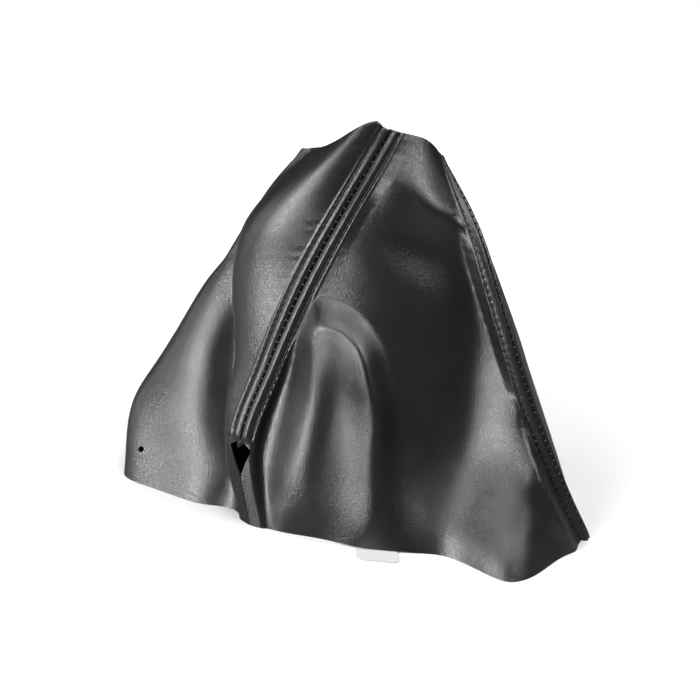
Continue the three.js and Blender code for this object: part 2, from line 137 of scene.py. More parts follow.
floor_mesh = bpy.data.meshes.new("floor")
half = FLOOR_SIZE / 2
corners = [(-half, -half, 0), (half, -half, 0), (half, half, 0), (-half, half, 0)]
floor_mesh.from_pydata(corners, [], [(0, 1, 2, 3)])
floor = bpy.data.objects.new("floor", floor_mesh)
bpy.context.scene.collection.objects.link(floor)
floor_finish = bpy.data.materials.new("pale_floor_painted_shade")
floor_finish.use_nodes = True
nodes, links = floor_finish.node_tree.nodes, floor_finish.node_tree.links
seen_floor = nodes["Principled BSDF"]
seen_floor.inputs["Roughness"].default_value = FLOOR_ROUGHNESS
seen_floor.inputs["Specular IOR Level"].default_value = FLOOR_SPECULAR
seen_floor.inputs["Emission Color"].default_value = GLOW_COLOUR
place = nodes.new("ShaderNodeTexCoord")
from_origin = nodes.new("ShaderNodeVectorMath")
from_origin.operation = "LENGTH"
glow = nodes.new("ShaderNodeMapRange")
glow.inputs["From Min"].default_value = GLOW_START
glow.inputs["From Max"].default_value = GLOW_FULL
glow.inputs["To Max"].default_value = FLOOR_GLOW
links.new(place.outputs["Object"], from_origin.inputs[0])
links.new(from_origin.outputs["Value"], glow.inputs["Value"])
links.new(glow.outputs["Result"], seen_floor.inputs["Emission Strength"])
# Painted shade: inside a disc under the sleeve the floor's colour is mixed to near-black, in place of real
# shadow.
from_painted_shade_centre = nodes.new("ShaderNodeVectorMath")
from_painted_shade_centre.operation = "DISTANCE"
from_painted_shade_centre.inputs[1].default_value = PAINTED_SHADE_CENTRE
outside_painted_shade = nodes.new("ShaderNodeMapRange")
outside_painted_shade.inputs["From Min"].default_value = PAINTED_SHADE_RADIUS - PAINTED_SHADE_EDGE
outside_painted_shade.inputs["From Max"].default_value = PAINTED_SHADE_RADIUS
floor_and_painted_shade = nodes.new("ShaderNodeMix")
floor_and_painted_shade.data_type = "RGBA"
floor_and_painted_shade.inputs["A"].default_value = PAINTED_SHADE_COLOUR
floor_and_painted_shade.inputs["B"].default_value = FLOOR_COLOUR
links.new(place.outputs["Object"], from_painted_shade_centre.inputs[0])
links.new(from_painted_shade_centre.outputs["Value"], outside_painted_shade.inputs["Value"])
links.new(outside_painted_shade.outputs["Result"], floor_and_painted_shade.inputs["Factor"])
links.new(floor_and_painted_shade.outputs["Result"], seen_floor.inputs["Base Color"])
mirrored_floor = nodes.new("ShaderNodeBsdfDiffuse")
mirrored_floor.inputs["Color"].default_value = FLOOR_MIRRORED
ray = nodes.new("ShaderNodeLightPath")
mix = nodes.new("ShaderNodeMixShader")
links.new(ray.outputs["Is Camera Ray"], mix.inputs["Fac"])
links.new(mirrored_floor.outputs[0], mix.inputs[1])
links.new(seen_floor.outputs[0], mix.inputs[2])
links.new(mix.outputs[0], nodes["Material Output"].inputs["Surface"])
floor_mesh.materials.append(floor_finish)

bpy.context.scene.view_settings.view_transform = "Standard"

# Seam lines: where the four seams run from a corner of the hem to the neck, in millimetres, with
# the sway from straight at the four stations between. The pattern is cut and sewn to these.
STATIONS = (0, 0.2, 0.4, 0.6, 0.8, 1)
SEAMS = {
    "front_left": {
        "foot": (-47, -20), "neck": (13, 26), "height": 172,
        "sway": ((-17, 3, -1.5), (-17, 3.5, -2), (-14, 2.5, 0), (-11.5, -3, -3)),
    },
    "front_right": {
        "foot": (111, -46), "neck": (46, 40), "height": 156.5,
        "sway": ((-2, -13, -7.5), (-7, -20.5, -4), (-8, -23.5, 2), (-5.5, -18, 6.5)),
    },
    "rear_right": {
        "foot": (98, 76), "neck": (20, 70), "height": 150,
        "sway": ((11.5, 1, 0), (13, 0.5, 2.5), (7, 0, 8.5), (0.5, 0, 9)),
    },
    "rear_left": {
        "foot": (-50, 95), "neck": (-19, 48), "height": 155,
        "sway": ((-12, 6.5, -1), (-10.5, 7, 1), (-5.5, 3, 10), (-2, 1.5, 9)),
    },
}
SEAM_SAMPLES = 25
TINY = 1e-3
ALMOST_ZERO = 1e-12


def smooth(x):
    t = np.clip(x, 0, 1)
    return t * t * (3 - 2 * t)


def bell(x):
    return np.exp(-x * x)


def follow(rows, at):
    """Smooth curve through rows of numbers, whose first number is the station."""
    rows = np.asarray(rows, float)
    stations, values = rows[:, 0], rows[:, 1:]
    slopes = np.diff(values, axis=0) / np.diff(stations)[:, None]
    tangents = np.concatenate([slopes[:1], (slopes[:-1] + slopes[1:]) / 2, slopes[-1:]])
    at = np.clip(at, stations[0], stations[-1])
    i = np.clip(np.searchsorted(stations, at, side="right") - 1, 0, len(stations) - 2)
    run = (stations[i + 1] - stations[i])[..., None]
    s = (at - stations[i])[..., None] / run
    return (
        (2 * s**3 - 3 * s**2 + 1) * values[i]
        + (s**3 - 2 * s**2 + s) * run * tangents[i]
        + (3 * s**2 - 2 * s**3) * values[i + 1]
        + (s**3 - s**2) * run * tangents[i + 1]
    )


def unit(vectors):
    return vectors / np.maximum(np.linalg.norm(vectors, axis=-1, keepdims=True), ALMOST_ZERO)


def seam_point(name, up):
    seam = SEAMS[name]
    foot = np.array([*seam["foot"], 0.0])
    neck = np.array([*seam["neck"], seam["height"]])
    sway = ((0, 0, 0), *seam["sway"], (0, 0, 0))
    offsets = [(station, *offset) for station, offset in zip(STATIONS, sway)]
    return foot + (neck - foot) * up[..., None] + follow(offsets, up)


def seam_length(name):
    points = seam_point(name, np.linspace(0, 1, SEAM_SAMPLES))
    return np.linalg.norm(np.diff(points, axis=0), axis=1).sum()


# The sheet's shape between two seams: across runs from 0 at a panel's left seam to 1 at its right
# one, and up from the hem to the neck. Folds are rows of up, across, height and two half widths. A
# lean has such rows too, and shifts the sheet sideways where a lobe tips over its crease.
PANELS = {
    "front_panel": {
        "left": "front_left", "right": "front_right", "bulge": (24, 16, 10, 7, 8, 6),
        "folds": (
            ((0, 0.02, -3, 6, 6), (0.06, 0.04, -4.5, 8, 6.5), (0.12, 0.065, -5.5, 8, 7),
             (0.24, 0.09, -7, 10, 8.5), (0.34, 0.09, -6, 10, 9), (0.44, 0.07, -4.5, 9, 8),
             (0.51, 0.06, -2.5, 7, 7), (0.56, 0.06, 0, 7, 6), (0.6, 0.06, 0, 7, 6)),
            ((0, 0.2, -4, 20, 20), (0.1, 0.23, -2, 12, 14), (0.2, 0.25, -2, 10, 14), (0.38, 0.25, -2, 8, 12),
             (0.46, 0.22, 0, 8, 9), (0.52, 0.2, 0, 8, 9)),
            ((0, 0.28, 2, 8, 9), (0.13, 0.37, 4, 9, 9), (0.27, 0.39, 5.5, 9, 8), (0.38, 0.385, 6, 9, 8),
             (0.47, 0.345, 5, 8, 8), (0.54, 0.3, 2, 8, 8), (0.6, 0.25, 0, 8, 8)),
            ((0, 0.52, -3, 18, 12), (0.15, 0.61, -9, 27, 18), (0.28, 0.69, -13, 30, 22),
             (0.4, 0.745, -14, 30, 24), (0.51, 0.79, -13, 28, 19), (0.64, 0.84, -10, 28, 10),
             (0.76, 0.8, -6, 24, 10), (0.86, 0.75, 0, 20, 10), (0.95, 0.75, 0, 20, 10)),
            ((0, 0.69, 25.5, 17, 30), (0.06, 0.73, 23, 20, 26), (0.13, 0.785, 19, 22, 20),
             (0.2, 0.83, 15, 22, 15), (0.31, 0.92, 9, 22, 12), (0.42, 0.96, 5, 19, 12),
             (0.53, 0.96, 0, 10, 10), (0.66, 0.93, 0, 10, 10), (0.72, 0.93, 0, 10, 10)),
            ((0, 0.945, 3, 10, 8), (0.06, 0.95, 8, 9, 8), (0.12, 0.95, 11, 9, 8), (0.2, 0.95, 10, 9, 8),
             (0.28, 0.955, 5, 9, 8), (0.35, 0.955, 0, 8, 8), (0.42, 0.955, 0, 8, 8)),
        ),
        "pillow": {
            "rows": ((0, 0.3, 0, 27), (0.11, 0.3, 2, 27), (0.26, 0.3, 4, 24), (0.38, 0.275, 7, 20),
                     (0.46, 0.235, 9, 17.5), (0.53, 0.18, 11, 16.5), (0.6, 0.15, 11, 16)),
            "spring": 0.485, "top": 0.562, "softness": 0.38,
        },
        "swells": ((0.2, 0.9, 10, 0.05, 2.5, -0.12), (0.62, 0.865, 14, 0.045, 4, -0.12),
                   (0.5, 0.745, 26, 0.075, -4, -0.12)),
        "lip": (0.5, 0.35, 3.5),
    },
    "right_panel": {
        "left": "front_right", "right": "rear_right", "bulge": (12, 15, 17, 17, 15, 10),
        "folds": (((0, 0.45, -8, 14, 14), (0.6, 0.5, -5, 10, 10), (0.9, 0.5, 0, 8, 8)),),
    },
    "rear_panel": {
        "left": "rear_right", "right": "rear_left", "bulge": (18, 16, 12, 10, 8, 6),
        "folds": (
            ((0, 0.3, -8, 14, 14), (0.6, 0.4, -5, 9, 9), (0.9, 0.4, 0, 8, 8)),
            ((0, 0.7, -8, 14, 14), (0.5, 0.62, -5, 9, 9), (0.8, 0.6, 0, 8, 8)),
        ),
    },
    "left_panel": {
        "left": "rear_left", "right": "front_left", "bulge": (12, 12, 13, 19, 20, 10),
        "folds": (
            ((0, 0.52, 30, 26, 22), (0.2, 0.4, 19, 19, 16), (0.3, 0.345, 13, 15, 13),
             (0.4, 0.295, 10, 11, 11), (0.6, 0.12, 2, 8, 7), (0.7, 0.05, 0, 8, 7), (0.8, 0.05, 0, 8, 7)),
            ((0, 0.86, -5, 9, 9), (0.1, 0.79, -12, 11, 9), (0.2, 0.73, -16, 12, 11),
             (0.3, 0.64, -16, 11, 12), (0.4, 0.54, -14, 10, 14), (0.6, 0.22, -7, 7, 12),
             (0.7, 0.1, 0, 7, 10), (0.8, 0.1, 0, 7, 10)),
        ),
        "lip": (0.75, 0.32, 7),
        "lean": ((0, 0.73, 6, 10, 9), (0.1, 0.7, 7, 10, 9), (0.2, 0.61, 8, 10, 9), (0.35, 0.465, 8, 9, 8),
                 (0.48, 0.345, 5.5, 8, 7), (0.6, 0.2, 0, 7, 7), (0.7, 0.1, 0, 7, 7)),
    },
}
FOLD_START = 4
FOLD_RUN_IN = 7
LIP_START = 0.8


def fold_height(rows, across, up, chord):
    centre, height, left, right = np.moveaxis(follow(rows, up), -1, 0)
    width = np.where(across < centre, left, right)
    inside = (up >= rows[0][0]) & (up <= rows[-1][0])
    return np.where(inside, height * bell((across - centre) * chord / width), 0)


def pillow_height(pillow, across, up, chord):
    centre, height, half_width = np.moveaxis(follow(pillow["rows"], up), -1, 0)
    x = (across - centre) * chord / half_width
    y = np.maximum(0, up - pillow["spring"]) / (pillow["top"] - pillow["spring"])
    return height * smooth((1 + pillow["softness"] - np.hypot(x, y)) / (2 * pillow["softness"]))


def swell_height(swell, across, up, chord):
    centre, middle, half_width, half_height, height, slope = swell
    x = (across - centre) * chord / half_width
    y = (up - middle - slope * (across - centre)) / half_height
    return height * bell(x) * bell(y)


def face(panel, across, up):
    """The sheet's face before the seams shape its edges, in millimetres."""
    start, end = seam_point(panel["left"], up), seam_point(panel["right"], up)
    chord = end - start
    length = np.linalg.norm(chord, axis=-1)
    away = unit(np.stack([chord[..., 1], -chord[..., 0], 0 * length], -1))
    bulge = follow(list(zip(STATIONS, panel["bulge"])), up)[..., 0]
    nearest = np.minimum(across, 1 - across) * length
    out = sum(fold_height(rows, across, up, length) for rows in panel["folds"])
    if "pillow" in panel:
        out = out + pillow_height(panel["pillow"], across, up, length)
    for swell in panel.get("swells", ()):
        out = out + swell_height(swell, across, up, length)
    run_in = smooth((nearest - FOLD_START) / FOLD_RUN_IN)
    out = bulge * 4 * across * (1 - across) + out * run_in
    point = start + chord * across[..., None] + away * out[..., None]
    if "lean" in panel:
        aside = fold_height(panel["lean"], across, up, length) * run_in
        point += unit(chord) * aside[..., None]
    if "lip" in panel:
        centre, width, height = panel["lip"]
        near_neck = smooth((up - LIP_START) / (1 - LIP_START))
        rise = height * bell((across - centre) / width) * near_neck
        point[..., 2] += rise * smooth(nearest / FOLD_RUN_IN)
    return point


def face_normal(panel, across, up):
    left, right = np.maximum(0, across - TINY), np.minimum(1, across + TINY)
    low, high = np.maximum(0, up - TINY), np.minimum(1, up + TINY)
    along = face(panel, right, up) - face(panel, left, up)
    upward = face(panel, across, high) - face(panel, across, low)
    return unit(np.cross(along, upward))


def edge_scale(panel, side, up):
    """Millimetres of face for a whole unit of across, at the left (0) or right (1) edge."""
    edge = np.full_like(up, side)
    step = TINY if side == 0 else -TINY
    return np.linalg.norm(face(panel, edge, up) - face(panel, edge + step, up), axis=-1) / TINY


def seam_normal(name, up):
    """The direction that both panels share at a seam, so that their edges meet in a mitre."""
    total = 0
    for panel in PANELS.values():
        if panel["left"] == name:
            total = total + face_normal(panel, np.zeros_like(up), up)
        if panel["right"] == name:
            total = total + face_normal(panel, np.ones_like(up), up)
    return unit(total)


# The leatherette wall: a 1.2 mm sheet, rolled over and doubled where the seam allowance lies
# behind each edge, with a channel where the top stitching pulls it down, and turned in at the neck.
SHEET_THICKNESS = 1.2
SEAM_CLEARANCE = 0.2
SEAM_ALLOWANCE = 6.4
ALLOWANCE_FADE = 0.8
ALLOWANCE_RISE = 0.5
ROLL_RADIUS = 1.0
RIB_CREST = 2.3
RIB_WIDTH = 1.3
RIB_HEIGHT = 0.8
TOP_STITCH_ROW = 5
STITCH_CHANNEL_DEPTH = 0.45
STITCH_CHANNEL_WIDTH = 0.7
STITCH_PITCH = 3.5
DIMPLE_DEPTH = 0.5
DIMPLE_WIDTH = 0.8
MITRE_BLEND = 9
LEAST_MITRE = 0.6
NECK_TURN_IN = 10
NECK_TURN_FADE = 1.2
NECK_PROBE = 0.1
OPENING_LOW = 24
OPENING_PEAK = 38
OPENING_HIGH = 42.5
OPENING_HALF_WIDTH = 5.5
SEWN_EASE = 0.02
TAB_ACROSS = 0.337
TAB_WIDTH = 19
TAB_THICKNESS = 0.4
TAB_CLEARANCE = 0.35
TAB_SIDE_MARGIN = 1
HEM_LIFT_FADE = 12
HEM_LIFT_REACH = 0.1
HEM_LEVEL_FADE = 3
ROW_SPACING = 0.8
COLUMN_SPACING = 1.8
SEAM_COLUMNS = (0, 0.12, 0.3, 0.5, 0.75, 1, 1.35, 1.7, 2.1, 2.5, 2.9, 3.3, 3.7, 4.1, 4.4, 4.7, 5,
                5.3, 5.6, 5.9, 6.3, 6.7, 7.2, 7.8, 8.5, 9.4)
PUCKER_PITCHES = (4, 9)
PUCKER_WAVES = 5
PUCKER_HEIGHT = 0.2
PUCKER_SLACK = 0.3
PUCKER_PLACE = 9
PUCKER_REACH = 4
DRAWN_TIGHT = (0.88, 0.09)
UNEVEN_WAVES = 40
UNEVEN_LENGTHS = (14, 60)
UNEVEN_HEIGHT = 0.05
UNEVEN_SEAM_FADE = 6
UNEVEN_HEM_FADE = 10

opening_low = OPENING_LOW / seam_length("front_left")
opening_high = OPENING_HIGH / seam_length("front_left")
opening_peak = OPENING_PEAK / seam_length("front_left")
luck = np.random.default_rng(7)
wave_lengths = luck.uniform(*UNEVEN_LENGTHS, UNEVEN_WAVES)
wave_vectors = unit(luck.normal(size=(UNEVEN_WAVES, 3))) * (2 * math.pi / wave_lengths)[:, None]
wave_starts = luck.uniform(0, 2 * math.pi, UNEVEN_WAVES)
wave_heights = UNEVEN_HEIGHT * wave_lengths / UNEVEN_LENGTHS[0]


def edge_inset(name, up):
    if name != "front_left":
        return np.full_like(up, SEAM_CLEARANCE)
    below = (up - opening_low) / (opening_peak - opening_low)
    above = (opening_high - up) / (opening_high - opening_peak)
    return SEAM_CLEARANCE + OPENING_HALF_WIDTH * np.maximum(0, np.minimum(below, above))


def sewn(name, up):
    return smooth((up - opening_high) / SEWN_EASE + 0.5) if name == "front_left" else np.ones_like(up)


def under_allowance(distance):
    return 1 - smooth((distance - SEAM_ALLOWANCE) / ALLOWANCE_FADE)


def rib_profile(distance):
    rolled_in = np.clip(ROLL_RADIUS - distance, 0, ROLL_RADIUS)
    return (
        np.sqrt(ROLL_RADIUS**2 - rolled_in**2) - ROLL_RADIUS
        + RIB_HEIGHT * bell((distance - RIB_CREST) / RIB_WIDTH)
        - STITCH_CHANNEL_DEPTH * bell((distance - TOP_STITCH_ROW) / STITCH_CHANNEL_WIDTH)
        + ALLOWANCE_RISE * under_allowance(distance)
    )


def unevenness(points):
    """The slight waviness of a soft sheet, in millimetres."""
    phases = points @ wave_vectors.T + wave_starts
    return (np.sin(phases) * wave_heights).sum(-1) / math.sqrt(UNEVEN_WAVES)


def puckers(panel, side, up, distance):
    """Small gathers beside the top stitching, strongest high on the left of the front left seam."""
    number = [other is panel for other in PANELS.values()].index(True)
    own_luck = np.random.default_rng(2 * number + side)
    along = up * seam_length(panel["right" if side else "left"])
    waves = 0
    for pitch in own_luck.uniform(*PUCKER_PITCHES, PUCKER_WAVES):
        waves = waves + np.sin(2 * math.pi * along / pitch + own_luck.uniform(0, 2 * math.pi))
    is_tight = panel is PANELS["left_panel"] and side == 1
    tight = bell((up - DRAWN_TIGHT[0]) / DRAWN_TIGHT[1]) if is_tight else 0
    beside_seam = bell((distance - PUCKER_PLACE) / PUCKER_REACH)
    return PUCKER_HEIGHT * (PUCKER_SLACK + tight) * waves / 2 * beside_seam


def neck_scale(panel):
    """Millimetres of face for a whole unit of up, at the neck."""
    ends = face(panel, np.full((2, 1), 0.5), np.array([[1 - NECK_PROBE], [1.0]]))
    return np.linalg.norm(ends[1] - ends[0]) / NECK_PROBE


def hem_lift(panel, across, up):
    """The front hem rises a little where the tab passes under it."""
    if panel is not PANELS["front_panel"]:
        return 0 * across * up
    base = np.zeros((1, 1))
    scale = np.linalg.norm(seam_point(panel["right"], base) - seam_point(panel["left"], base))
    aside = np.abs(across - TAB_ACROSS) * scale - TAB_WIDTH / 2 - TAB_SIDE_MARGIN
    height = TAB_THICKNESS + TAB_CLEARANCE
    return height * (1 - smooth(aside / HEM_LIFT_FADE)) * (1 - smooth(up / HEM_LIFT_REACH))


def wall(panel, across, up):
    """Outer and inner faces, outward direction and distance from the nearer edge."""
    from_left = across * edge_scale(panel, 0, up)
    from_right = (1 - across) * edge_scale(panel, 1, up)
    is_left = from_left < from_right

    def nearer(of_left, of_right):
        return np.where(is_left[..., None] if of_left.ndim == 3 else is_left, of_left, of_right)

    seams = panel["left"], panel["right"]
    inset = nearer(*(edge_inset(name, up) for name in seams))
    is_sewn = nearer(*(sewn(name, up) for name in seams))
    shared = nearer(*(seam_normal(name, up) for name in seams))
    distance = np.minimum(from_left, from_right) - inset
    plain = face_normal(panel, across, up)
    mitre = (1 - smooth(distance / MITRE_BLEND))[..., None]
    facing = np.maximum((shared * plain).sum(-1, keepdims=True), LEAST_MITRE)
    direction = plain * (1 - mitre) + shared / facing * mitre
    from_neck = (1 - up) * neck_scale(panel)
    turned_in = 1 - smooth((from_neck - NECK_TURN_IN) / NECK_TURN_FADE)
    layers = 1 + np.maximum(turned_in, is_sewn * under_allowance(distance))
    rim = np.clip(SHEET_THICKNESS - from_neck, 0, SHEET_THICKNESS)
    rounding = SHEET_THICKNESS - np.sqrt(SHEET_THICKNESS**2 - rim**2)
    point = face(panel, across, up)
    height = point[..., 2]
    direction[..., 2] *= smooth(height / HEM_LEVEL_FADE)
    seam_free = smooth((distance - SEAM_ALLOWANCE) / UNEVEN_SEAM_FADE) * smooth(height / UNEVEN_HEM_FADE)
    gathers = nearer(puckers(panel, 0, up, distance), puckers(panel, 1, up, distance))
    raised = is_sewn * (rib_profile(distance) + gathers) + unevenness(point) * seam_free - rounding
    outer = point + direction * raised[..., None]
    inner = point + direction * (rounding - SHEET_THICKNESS * layers)[..., None]
    lift = hem_lift(panel, across, up)
    outer[..., 2] += lift
    inner[..., 2] += lift
    return outer, inner, direction, distance


# Leatherette finish: near-black embossed vinyl with a fine pebbled grain and a soft satin sheen,
# on a dark knitted backing that shows on the inside and as a thin line at the cut hem.
LEATHER_DARK = (0.0095, 0.0097, 0.0102, 1)
LEATHER_LIGHT = (0.016, 0.0163, 0.017, 1)
LEATHER_ROUGHNESS = (0.27, 0.34)
LEATHER_SHEEN_LEVEL = 1.0
GRAIN_SIZE = 0.75
GRAIN_HEIGHT = 0.042
CREASE_WIDTH = 0.22
PORE_SIZE = 0.25
PORE_DETAIL = 3
PORE_SHARE = 0.5
CLOUDS_PER_METRE = 45
CLOUD_DETAIL = 4
BACKING_COLOUR = (0.018, 0.018, 0.019, 1)
BACKING_ROUGHNESS = 0.95
KNIT_SIZE = 0.7
KNIT_HEIGHT = 0.15


def new_finish(name):
    finish = bpy.data.materials.new(name)
    finish.use_nodes = True
    return finish, finish.node_tree.nodes, finish.node_tree.links, finish.node_tree.nodes["Principled BSDF"]


leather, nodes, links, shader = new_finish("leatherette")
shader.inputs["Specular IOR Level"].default_value = LEATHER_SHEEN_LEVEL
places = nodes.new("ShaderNodeTexCoord")
cells = nodes.new("ShaderNodeTexVoronoi")
cells.feature = "DISTANCE_TO_EDGE"
cells.inputs["Scale"].default_value = 1 / (GRAIN_SIZE * MM)
creases = nodes.new("ShaderNodeMapRange")
creases.inputs["From Max"].default_value = CREASE_WIDTH
pores = nodes.new("ShaderNodeTexNoise")
pores.inputs["Scale"].default_value = 1 / (PORE_SIZE * MM)
pores.inputs["Detail"].default_value = PORE_DETAIL
grain = nodes.new("ShaderNodeMath")
grain.operation = "MULTIPLY_ADD"
grain.inputs[1].default_value = PORE_SHARE
bump = nodes.new("ShaderNodeBump")
bump.inputs["Strength"].default_value = 1
bump.inputs["Distance"].default_value = GRAIN_HEIGHT * MM
clouds = nodes.new("ShaderNodeTexNoise")
clouds.inputs["Scale"].default_value = CLOUDS_PER_METRE
clouds.inputs["Detail"].default_value = CLOUD_DETAIL
tone = nodes.new("ShaderNodeMix")
tone.data_type = "RGBA"
tone.inputs["A"].default_value = LEATHER_DARK
tone.inputs["B"].default_value = LEATHER_LIGHT
gloss = nodes.new("ShaderNodeMapRange")
gloss.inputs["To Min"].default_value = LEATHER_ROUGHNESS[0]
gloss.inputs["To Max"].default_value = LEATHER_ROUGHNESS[1]
for texture in (cells, pores, clouds):
    links.new(places.outputs["Object"], texture.inputs["Vector"])
links.new(cells.outputs["Distance"], creases.inputs["Value"])
links.new(pores.outputs["Fac"], grain.inputs[0])
links.new(creases.outputs["Result"], grain.inputs[2])
links.new(grain.outputs["Value"], bump.inputs["Height"])
links.new(bump.outputs["Normal"], shader.inputs["Normal"])
links.new(clouds.outputs["Fac"], tone.inputs["Factor"])
links.new(tone.outputs["Result"], shader.inputs["Base Color"])
links.new(clouds.outputs["Fac"], gloss.inputs["Value"])
links.new(gloss.outputs["Result"], shader.inputs["Roughness"])

backing, nodes, links, shader = new_finish("knitted_backing")
shader.inputs["Base Color"].default_value = BACKING_COLOUR
shader.inputs["Roughness"].default_value = BACKING_ROUGHNESS
places = nodes.new("ShaderNodeTexCoord")
knit = nodes.new("ShaderNodeTexVoronoi")
knit.inputs["Scale"].default_value = 1 / (KNIT_SIZE * MM)
bump = nodes.new("ShaderNodeBump")
bump.inputs["Distance"].default_value = KNIT_HEIGHT * MM
links.new(places.outputs["Object"], knit.inputs["Vector"])
links.new(knit.outputs["Distance"], bump.inputs["Height"])
links.new(bump.outputs["Normal"], shader.inputs["Normal"])


# The four panels: each is cut from flat leatherette and sewn into the sleeve with its neighbours,
# with its outer face, its backing and its cut edges in one piece. The left one has a small round
# hole punched through it near the hem.
RIM_STEPS = 6
WIDTH_SAMPLES = 60
WIDTH_TAKEN_AT = 0.1
SHARP_ANGLE = math.radians(50)
PEG_HOLE_ACROSS = 0.545
PEG_HOLE_HEIGHT = 16.7
PEG_HOLE_RADIUS = 1.4
PUNCH_DEPTH = 4
PUNCH_SIDES = 28

# The frame's origin, under the middle of the whole, in the pattern's own coordinates.
PATTERN_ORIGIN = (13.15, 10.57, 0)
to_origin = -np.array(PATTERN_ORIGIN)


def panel_rows(panel):
    scale = neck_scale(panel)
    end = 1 - SHEET_THICKNESS / scale
    plain = np.linspace(0, end, round(scale / ROW_SPACING))
    turns = np.linspace(0, math.pi / 2, RIM_STEPS)[1:]
    rim = 1 - SHEET_THICKNESS / scale * (1 - np.sin(turns))
    return np.concatenate([plain, rim])[:, None]


def panel_columns(panel, up):
    near = np.array(SEAM_COLUMNS)
    left = (edge_inset(panel["left"], up) + near) / edge_scale(panel, 0, up)
    right = 1 - (edge_inset(panel["right"], up) + near[::-1]) / edge_scale(panel, 1, up)
    widest = face(panel, np.linspace(0, 1, WIDTH_SAMPLES)[None, :], np.array([[WIDTH_TAKEN_AT]]))
    width = np.linalg.norm(np.diff(widest[0], axis=0), axis=1).sum()
    shares = np.linspace(0, 1, round(width / COLUMN_SPACING))[1:-1]
    start, end = left[:, -1:], right[:, :1]
    return np.concatenate([left, start + (end - start) * shares, right], axis=1)


def hole_nearness(line):
    """1 in each stitch hole along a line of points, 0 between the holes."""
    steps = np.linalg.norm(np.diff(line, axis=0), axis=1)
    along = np.concatenate([[0], np.cumsum(steps)])
    off = np.abs((along / STITCH_PITCH + 0.5) % 1 - 0.5) * STITCH_PITCH
    return bell(off / DIMPLE_WIDTH)[:, None]


def make_panel(name):
    panel = PANELS[name]
    up = panel_rows(panel)
    across = panel_columns(panel, up)
    outer, inner, direction, distance = wall(panel, across, up)
    row = SEAM_COLUMNS.index(TOP_STITCH_ROW)
    half_way = across.shape[1] // 2
    holes = np.ones_like(across)
    holes[:, :half_way] = hole_nearness(outer[:, row]) * sewn(panel["left"], up)
    holes[:, half_way:] = hole_nearness(outer[:, -1 - row]) * sewn(panel["right"], up)
    dimple = DIMPLE_DEPTH * holes * bell((distance - TOP_STITCH_ROW) / DIMPLE_WIDTH)
    outer = outer - direction * dimple[..., None]
    panel["outer"], panel["direction"], panel["up"] = outer, direction, up
    rows, columns = across.shape
    points = np.concatenate([outer.reshape(-1, 3), inner[:-1].reshape(-1, 3)]) + to_origin
    front = np.arange(rows * columns).reshape(rows, columns)
    behind = np.arange((rows - 1) * columns).reshape(rows - 1, columns) + rows * columns
    behind = np.concatenate([behind, front[-1:]])

    def quads(a, b, c, d):
        return np.stack([a.ravel(), b.ravel(), c.ravel(), d.ravel()], 1)

    outside = quads(front[:-1, :-1], front[:-1, 1:], front[1:, 1:], front[1:, :-1])
    inside = quads(behind[:-1, :-1], behind[1:, :-1], behind[1:, 1:], behind[:-1, 1:])
    hem = quads(front[0, :-1], behind[0, :-1], behind[0, 1:], front[0, 1:])
    left = quads(front[:-2, 0], front[1:-1, 0], behind[1:-1, 0], behind[:-2, 0])
    right = quads(front[:-2, -1], behind[:-2, -1], behind[1:-1, -1], front[1:-1, -1])
    ends = [(front[-2, 0], front[-1, 0], behind[-2, 0]), (front[-2, -1], behind[-2, -1], front[-1, -1])]
    faces = np.concatenate([outside, inside, hem, left, right]).tolist() + ends
    mesh = bpy.data.meshes.new(name + "_sewn")
    mesh.from_pydata((points * MM).tolist(), [], faces)
    mesh.materials.append(leather)
    mesh.materials.append(backing)
    finish_of = np.zeros(len(faces), np.int32)
    turned = up[:-1, 0] > 1 - NECK_TURN_IN / neck_scale(panel)
    inner_rows = np.repeat(~turned, columns - 1)
    finish_of[len(outside):len(outside) + len(inside)] = inner_rows
    finish_of[len(outside) + len(inside):] = 1
    mesh.polygons.foreach_set("material_index", finish_of)
    mesh.polygons.foreach_set("use_smooth", np.ones(len(faces), bool))
    mesh.set_sharp_from_angle(angle=SHARP_ANGLE)
    piece = bpy.data.objects.new(name + "_sewn", mesh)
    bpy.context.scene.collection.objects.link(piece)
    area = float(np.linalg.norm(np.cross(
        outer[:-1, 1:] - outer[:-1, :-1], outer[1:, :-1] - outer[:-1, :-1]), axis=-1).sum()) * MM * MM
    width = float(np.linalg.norm(np.diff(outer, axis=1), axis=-1).sum(1).max()) * MM
    length = float(np.linalg.norm(np.diff(outer, axis=0), axis=-1).sum(0).max()) * MM
    panel["flat"] = (round(width + 2 * SEAM_ALLOWANCE * MM, 3), round(length + NECK_TURN_IN * MM, 3), area)
    return piece


